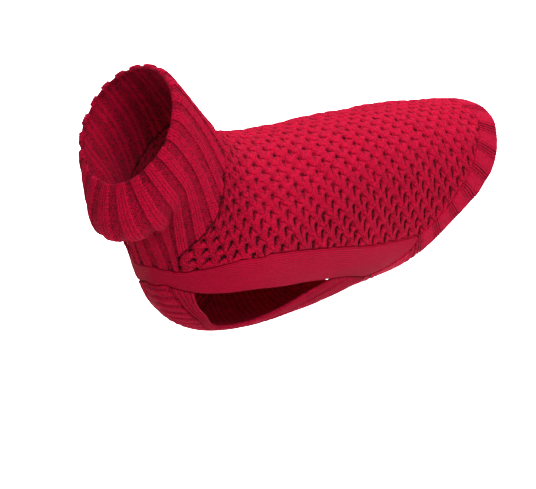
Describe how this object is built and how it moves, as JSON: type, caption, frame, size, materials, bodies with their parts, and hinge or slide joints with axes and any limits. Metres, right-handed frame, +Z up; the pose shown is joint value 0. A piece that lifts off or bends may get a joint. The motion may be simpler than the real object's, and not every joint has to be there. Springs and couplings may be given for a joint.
{
  "type": "dog sweater",
  "caption": "Knitted pullover for a small dog: ribbed tube collar, honeycomb back, jersey border band, belly panel between the leg openings and ribbed rump hem.",
  "frame": {"origin": "inner face of the back panel at the top of the back, above the middle of the body, where the wearer's back carries the sweater", "axes": "+X along the back towards the rump, the collar towards -X; +Z up; -Y the dog's left side; the plane Y = 0 halves the garment"},
  "size_m": [0.5111, 0.158, 0.2553],
  "materials": {
    "honeycomb_knit": "matt",
    "rib_knit": "matt",
    "jersey_knit": "matt",
    "belly_knit": "matt",
    "trim_knit": "matt"
  },
  "bodies": {
    "root": {"back_panel": "honeycomb_knit", "collar": "rib_knit", "border_band": "jersey_knit", "belly_panel": "belly_knit", "leg_trim_left": "trim_knit", "leg_trim_right": "trim_knit", "rump_hem": "rib_knit"}
  },
  "joints": []
}
